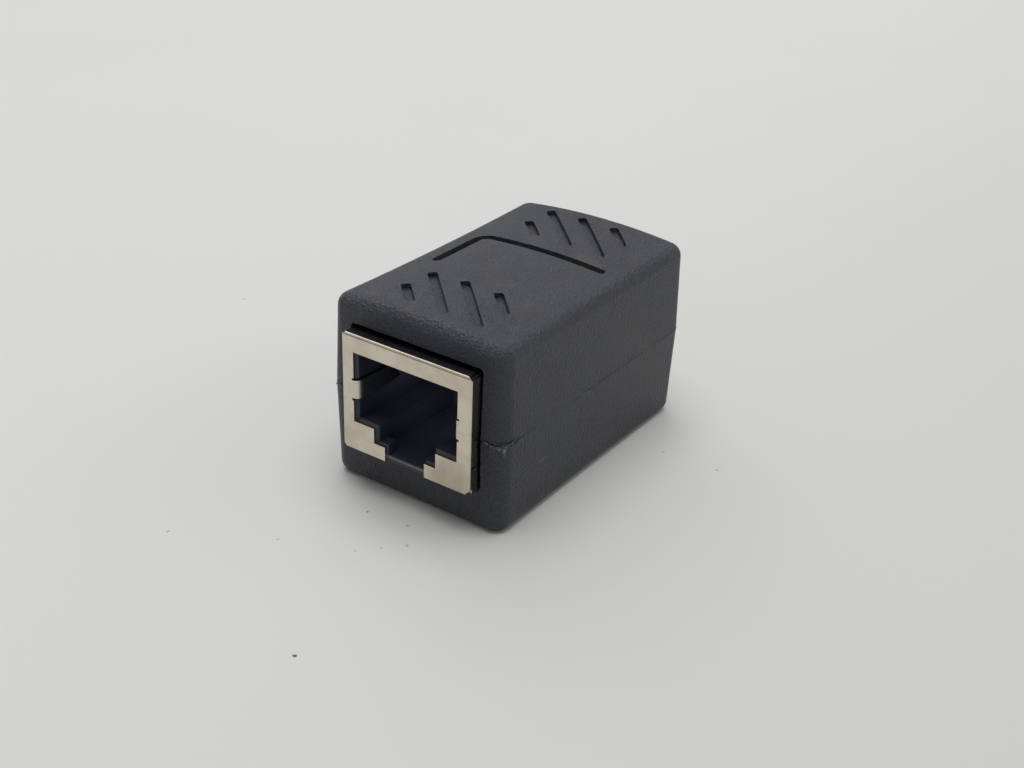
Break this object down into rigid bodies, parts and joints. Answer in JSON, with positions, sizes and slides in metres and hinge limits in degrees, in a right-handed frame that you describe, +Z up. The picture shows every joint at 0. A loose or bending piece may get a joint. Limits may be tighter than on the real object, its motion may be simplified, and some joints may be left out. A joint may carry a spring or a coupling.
{
  "type": "modular jack inline coupler",
  "caption": "Inline coupler with a shielded jack at each end of a waisted, grooved plastic casing, for joining two network cords end to end",
  "frame": {"origin": "middle of the flat underside", "axes": "+X to the right seen from the front port, +Y along the length from the front port to the rear port, +Z up"},
  "size_m": [0.021, 0.0364, 0.0204],
  "materials": {
    "casing": "black, fine spark texture",
    "shield": "folded sheet, nickel plated",
    "housing": "black, smooth",
    "carrier": "black, smooth",
    "contact": "gold-plated spring strip",
    "board": "glass laminate with solder mask"
  },
  "bodies": {
    "root": {"upper_shell": "casing", "lower_shell": "casing", "circuit_board": "board", "front_shield": "shield", "front_jack_housing": "housing", "front_contact_carrier": "carrier", "front_contact_1": "contact", "front_contact_2": "contact", "front_contact_3": "contact", "front_contact_4": "contact", "front_contact_5": "contact", "front_contact_6": "contact", "front_contact_7": "contact", "front_contact_8": "contact", "rear_shield": "shield", "rear_jack_housing": "housing", "rear_contact_carrier": "carrier", "rear_contact_1": "contact", "rear_contact_2": "contact", "rear_contact_3": "contact", "rear_contact_4": "contact", "rear_contact_5": "contact", "rear_contact_6": "contact", "rear_contact_7": "contact", "rear_contact_8": "contact"}
  },
  "joints": []
}
